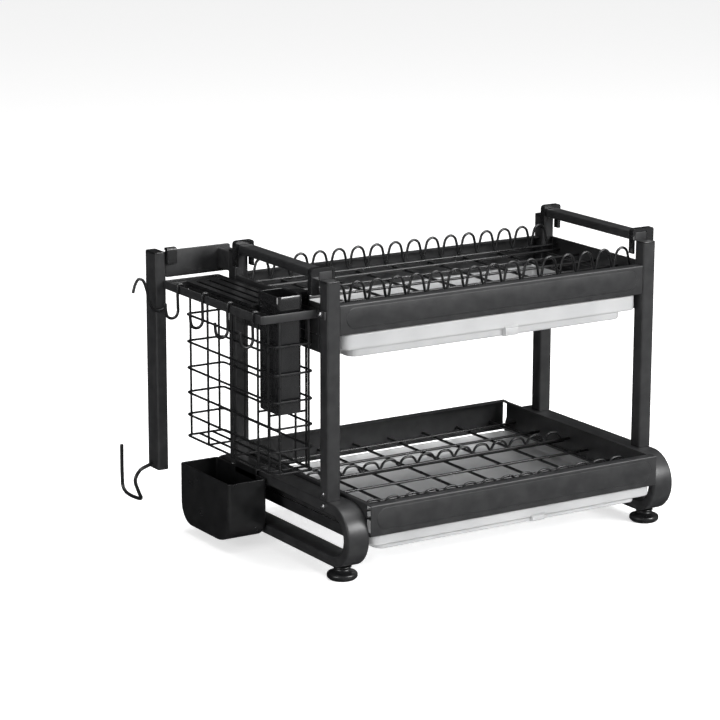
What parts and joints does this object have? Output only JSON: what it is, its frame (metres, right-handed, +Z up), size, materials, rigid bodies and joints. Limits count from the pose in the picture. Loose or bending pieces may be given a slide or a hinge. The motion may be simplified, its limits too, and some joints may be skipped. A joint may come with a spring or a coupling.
{
  "type": "dish drying rack",
  "caption": "Freestanding black steel dish rack: plates above, bowls below, slide-out drip trays, and a side wing with basket, box and hooks.",
  "frame": {"origin": "on the worktop, under the middle of the outline of the whole rack, with its side wing", "axes": "+X to the rack's right, +Y from the user's side to the back, +Z up"},
  "size_m": [0.6768, 0.4134, 0.411],
  "materials": {
    "frame_steel": "satin black powder coat",
    "wire_steel": "semi-gloss black coated wire",
    "black_plastic": "satin moulded black plastic",
    "gloss_black": "glossy black plastic",
    "tray_plastic": "frosted translucent white plastic",
    "screw_steel": "bright zinc-plated steel"
  },
  "bodies": {
    "frame": {"base_loop_left": "frame_steel", "top_rail_left": "frame_steel", "upper_side_rail_left": "frame_steel", "lower_side_rail_left": "frame_steel", "upper_runner_left": "frame_steel", "lower_runner_left": "frame_steel", "base_loop_right": "frame_steel", "top_rail_right": "frame_steel", "upper_side_rail_right": "frame_steel", "lower_side_rail_right": "frame_steel", "upper_runner_right": "frame_steel", "lower_runner_right": "frame_steel", "post_front_left": "frame_steel", "post_cap_front_left": "black_plastic", "top_saddle_front_left": "black_plastic", "loop_screw_front_left": "screw_steel", "post_rear_left": "frame_steel", "post_cap_rear_left": "black_plastic", "top_saddle_rear_left": "black_plastic", "loop_screw_rear_left": "screw_steel", "post_front_right": "frame_steel", "post_cap_front_right": "black_plastic", "top_saddle_front_right": "black_plastic", "loop_screw_front_right": "screw_steel", "post_rear_right": "frame_steel", "post_cap_rear_right": "black_plastic", "top_saddle_rear_right": "black_plastic", "loop_screw_rear_right": "screw_steel", "upper_front_rail": "frame_steel", "upper_rear_rail": "frame_steel", "lower_front_rail": "frame_steel", "lower_rear_rail": "frame_steel", "plate_hoops_front": "wire_steel", "plate_hoops_rear": "wire_steel", "plate_floor": "wire_steel", "bowl_hoops_front": "wire_steel", "bowl_hoops_rear": "wire_steel", "bowl_floor": "wire_steel", "wing_post": "frame_steel", "wing_post_cap": "black_plastic", "wing_plate": "frame_steel", "wing_clip": "black_plastic", "basket_frame": "frame_steel", "basket_screw": "screw_steel", "utensil_basket": "wire_steel", "board_guard": "wire_steel", "board_cradle": "wire_steel"},
    "upper_tray": {"upper_drip_tray": "tray_plastic"},
    "lower_tray": {"lower_drip_tray": "tray_plastic"},
    "chopstick_box": {"chopstick_box": "gloss_black"},
    "knife_holder": {"knife_holder": "black_plastic"},
    "drip_cup": {"drip_cup": "black_plastic"},
    "foot_front_left": {"foot_front_left": "black_plastic"},
    "foot_rear_left": {"foot_rear_left": "black_plastic"},
    "foot_front_right": {"foot_front_right": "black_plastic"},
    "foot_rear_right": {"foot_rear_right": "black_plastic"},
    "hook_1": {"utensil_hook_1": "wire_steel"},
    "hook_2": {"utensil_hook_2": "wire_steel"},
    "hook_3": {"utensil_hook_3": "wire_steel"},
    "hook_4": {"utensil_hook_4": "wire_steel"}
  },
  "joints": [
    {"name": "upper_tray_slide", "type": "slide", "parent": "frame", "child": "upper_tray", "axis": [0, -1, 0], "range_m": [0, 0.2]},
    {"name": "lower_tray_slide", "type": "slide", "parent": "frame", "child": "lower_tray", "axis": [0, -1, 0], "range_m": [0, 0.3]},
    {"name": "chopstick_box_lift", "type": "slide", "parent": "frame", "child": "chopstick_box", "axis": [0, 0, 1], "range_m": [0, 0.16]},
    {"name": "knife_holder_lift", "type": "slide", "parent": "frame", "child": "knife_holder", "axis": [0, 0, 1], "range_m": [0, 0.06]},
    {"name": "drip_cup_lift", "type": "slide", "parent": "frame", "child": "drip_cup", "axis": [0, 0, 1], "range_m": [0, 0.03]},
    {"name": "foot_front_left_level", "type": "slide", "parent": "frame", "child": "foot_front_left", "axis": [0, 0, -1], "range_m": [0, 0.008]},
    {"name": "foot_rear_left_level", "type": "slide", "parent": "frame", "child": "foot_rear_left", "axis": [0, 0, -1], "range_m": [0, 0.008]},
    {"name": "foot_front_right_level", "type": "slide", "parent": "frame", "child": "foot_front_right", "axis": [0, 0, -1], "range_m": [0, 0.008]},
    {"name": "foot_rear_right_level", "type": "slide", "parent": "frame", "child": "foot_rear_right", "axis": [0, 0, -1], "range_m": [0, 0.008]},
    {"name": "hook_1_slide", "type": "slide", "parent": "frame", "child": "hook_1", "axis": [0, 1, 0], "range_m": [-0.012, 0.025]},
    {"name": "hook_2_slide", "type": "slide", "parent": "frame", "child": "hook_2", "axis": [0, 1, 0], "range_m": [-0.025, 0.025]},
    {"name": "hook_3_slide", "type": "slide", "parent": "frame", "child": "hook_3", "axis": [0, 1, 0], "range_m": [-0.025, 0.025]},
    {"name": "hook_4_slide", "type": "slide", "parent": "frame", "child": "hook_4", "axis": [0, 1, 0], "range_m": [-0.025, 0.018]}
  ]
}
